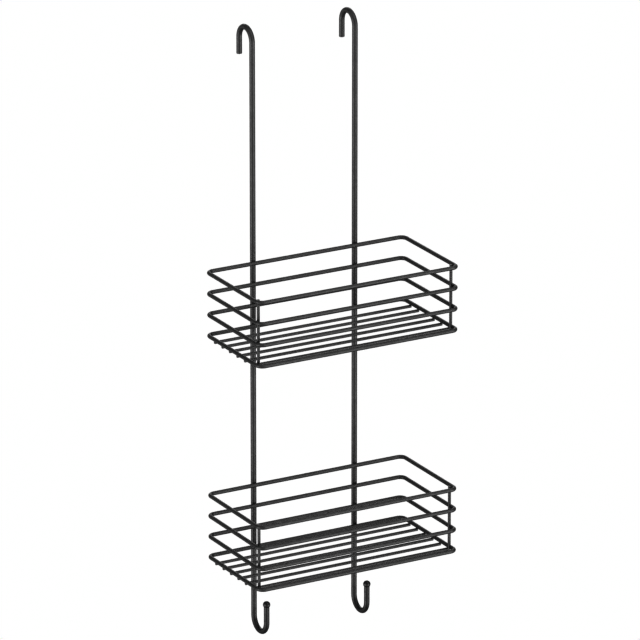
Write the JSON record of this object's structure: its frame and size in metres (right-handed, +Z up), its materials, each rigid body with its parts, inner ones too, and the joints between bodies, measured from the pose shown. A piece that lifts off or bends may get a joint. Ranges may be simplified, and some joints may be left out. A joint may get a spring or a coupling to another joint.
{
  "type": "shower caddy",
  "caption": "Tall black wire caddy that hooks over a shower screen, with an upper and a lower basket and ball-tipped towel hooks below.",
  "frame": {"origin": "middle of the screen's top edge, where the crowns of the two screen hooks rest on it: half way between the rods, half way across the 23 mm slot, at the underside of the crowns", "axes": "+X along the baskets, +Y towards the far side of the screen, so the baskets are on -Y, +Z up"},
  "size_m": [0.25, 0.1574, 0.6955],
  "materials": {
    "powder_coat": "satin",
    "ball_coat": "satin"
  },
  "bodies": {
    "root": {"hanger_rod_left": "powder_coat", "hanger_rod_right": "powder_coat", "hook_ball_left": "ball_coat", "hook_ball_right": "ball_coat", "lower_ring_1": "powder_coat", "lower_ring_2": "powder_coat", "lower_ring_3": "powder_coat", "lower_ring_4": "powder_coat", "upper_ring_1": "powder_coat", "upper_ring_2": "powder_coat", "upper_ring_3": "powder_coat", "upper_ring_4": "powder_coat", "lower_upright_left": "powder_coat", "lower_upright_right": "powder_coat", "upper_upright_left": "powder_coat", "upper_upright_right": "powder_coat", "lower_floor_wire_1": "powder_coat", "lower_floor_wire_2": "powder_coat", "lower_floor_wire_3": "powder_coat", "lower_floor_wire_4": "powder_coat", "lower_floor_wire_5": "powder_coat", "lower_floor_wire_6": "powder_coat", "upper_floor_wire_1": "powder_coat", "upper_floor_wire_2": "powder_coat", "upper_floor_wire_3": "powder_coat", "upper_floor_wire_4": "powder_coat", "upper_floor_wire_5": "powder_coat", "upper_floor_wire_6": "powder_coat"}
  },
  "joints": []
}
